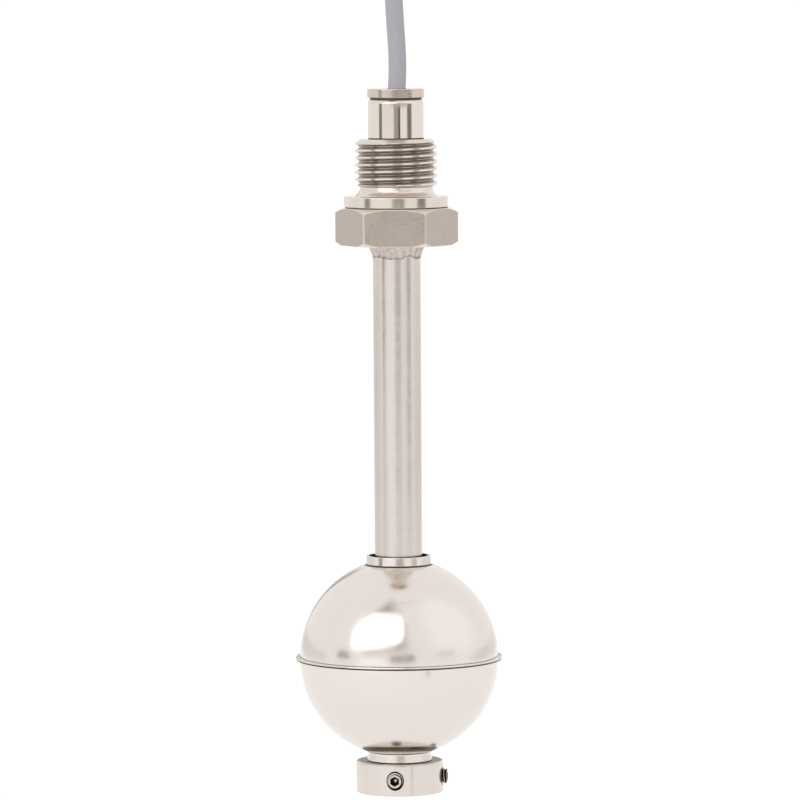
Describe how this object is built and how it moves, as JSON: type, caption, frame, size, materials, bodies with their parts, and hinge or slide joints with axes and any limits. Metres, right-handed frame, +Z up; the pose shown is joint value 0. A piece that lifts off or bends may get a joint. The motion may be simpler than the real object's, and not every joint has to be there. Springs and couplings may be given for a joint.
{
  "type": "float level switch",
  "caption": "Vertical level switch: a hollow ball float slides on a steel stem under a hexagon plug with a pipe thread, with a stop collar below and a cable out of the top.",
  "frame": {"origin": "on the thread's axis, in the plane of the sealing face at the foot of the thread", "axes": "+Z up along the thread and the cable; the stem and float hang along -Z; -Y is the front, where one set screw shows"},
  "size_m": [0.0522, 0.0974, 0.2358],
  "materials": {
    "turned_steel": "turned stainless steel, satin on the hexagon and bright on the thread",
    "polished_steel": "drawn and polished stainless steel",
    "stem_steel": "drawn stainless tube, satin with soft streaks along it",
    "weld_metal": "uneven stainless weld",
    "collar_steel": "fine turned stainless steel, light satin",
    "screw_steel": "plain stainless screw",
    "float_steel": "mirror polished stainless sheet",
    "magnet_ferrite": "dull dark ferrite",
    "seal_rubber": "black rubber",
    "resin": "cast black resin",
    "carrier_board": "green glass-fibre board",
    "reed_tube": "greenish clear glass",
    "lead_metal": "tinned wire",
    "core_brown_plastic": "brown core insulation",
    "core_blue_plastic": "blue core insulation",
    "jacket_grey": "smooth grey cable jacket",
    "tie_rubber": "black hook-and-loop strap",
    "copper_strands": "twisted bare copper strands"
  },
  "bodies": {
    "stem_assembly": {"plug_body": "turned_steel", "neck_sleeve": "polished_steel", "cable_bush": "polished_steel", "cable_seal": "seal_rubber", "resin_fill": "resin", "stem_tube": "stem_steel", "weld_bead": "weld_metal", "stem_end_disc": "stem_steel", "stop_collar": "collar_steel", "set_screw_front": "screw_steel", "set_screw_side": "screw_steel", "reed_carrier": "carrier_board", "reed_glass": "reed_tube", "reed_lead_upper": "lead_metal", "reed_lead_lower": "lead_metal", "core_brown": "core_brown_plastic", "core_blue": "core_blue_plastic", "cable": "jacket_grey", "cable_hank": "jacket_grey", "cable_tie": "tie_rubber", "cable_tail": "jacket_grey", "tail_core_brown": "core_brown_plastic", "tail_core_blue": "core_blue_plastic", "tail_strands_brown": "copper_strands", "tail_strands_blue": "copper_strands"},
    "magnet": {"ring_magnet": "magnet_ferrite"},
    "float": {"float_upper_shell": "float_steel", "float_lower_shell": "float_steel", "float_bore_tube": "float_steel", "float_seam_weld": "float_steel", "magnet_clip_upper": "polished_steel", "magnet_clip_lower": "polished_steel"}
  },
  "joints": [
    {"name": "float_slide", "type": "slide", "parent": "stem_assembly", "child": "magnet", "axis": [0, 0, 1], "range_m": [0, 0.0784]},
    {"name": "float_spin", "type": "hinge", "parent": "magnet", "child": "float", "pos_m": [0, 0, -0.1169], "axis": [0, 0, 1], "continuous": true}
  ]
}
